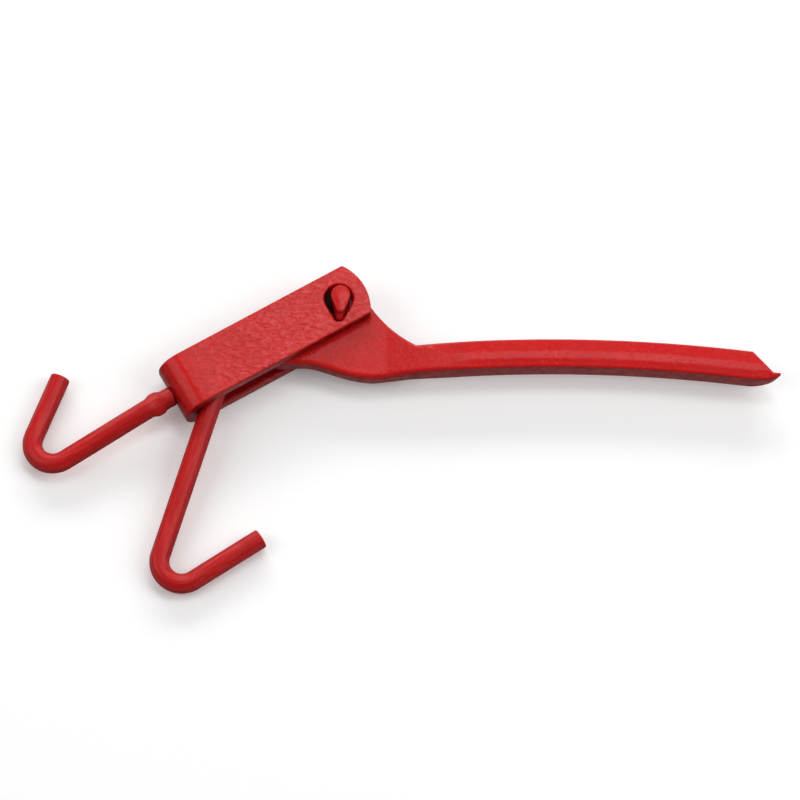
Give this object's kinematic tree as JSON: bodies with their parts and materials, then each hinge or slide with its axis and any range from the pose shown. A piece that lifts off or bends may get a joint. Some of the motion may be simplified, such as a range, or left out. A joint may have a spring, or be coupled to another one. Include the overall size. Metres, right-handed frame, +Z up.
{
  "type": "hook lever tensioner",
  "caption": "Over-centre lever puller: a U-shaped strap yoke with a swivel hook, and a bowed forged lever whose forked toe carries a second rod hook, all painted red.",
  "frame": {"origin": "on the ground under the middle of the tool's outline as it lies flat", "axes": "+X along the tool's length towards the grip's end, +Y across it away from the hooks, +Z up through the flat yoke"},
  "size_m": [0.3775, 0.1658, 0.03],
  "materials": {
    "yoke_paint": "gloss",
    "pivot_pin_paint": "gloss",
    "lever_paint": "gloss",
    "toe_rivet_paint": "gloss",
    "hook_a_paint": "gloss",
    "hook_b_paint": "gloss"
  },
  "bodies": {
    "yoke": {"yoke": "yoke_paint", "pivot_pin": "pivot_pin_paint"},
    "lever": {"lever": "lever_paint", "toe_rivet": "toe_rivet_paint"},
    "first_hook": {"hook_a": "hook_a_paint"},
    "second_hook": {"hook_b": "hook_b_paint"}
  },
  "joints": [
    {"name": "lever_turn", "type": "hinge", "parent": "yoke", "child": "lever", "pos_m": [-0.03031, 0.06586, 0.0125], "axis": [0, 0, 1], "range_deg": [0, 195]},
    {"name": "first_hook_swivel", "type": "hinge", "parent": "yoke", "child": "first_hook", "pos_m": [-0.11717, 0.01632, 0.0125], "axis": [-0.8686, -0.4955, 0], "continuous": true},
    {"name": "second_hook_swing", "type": "hinge", "parent": "lever", "child": "second_hook", "pos_m": [-0.08526, 0.04254, 0.0125], "axis": [0, 0, 1], "range_deg": [0, 45]}
  ]
}
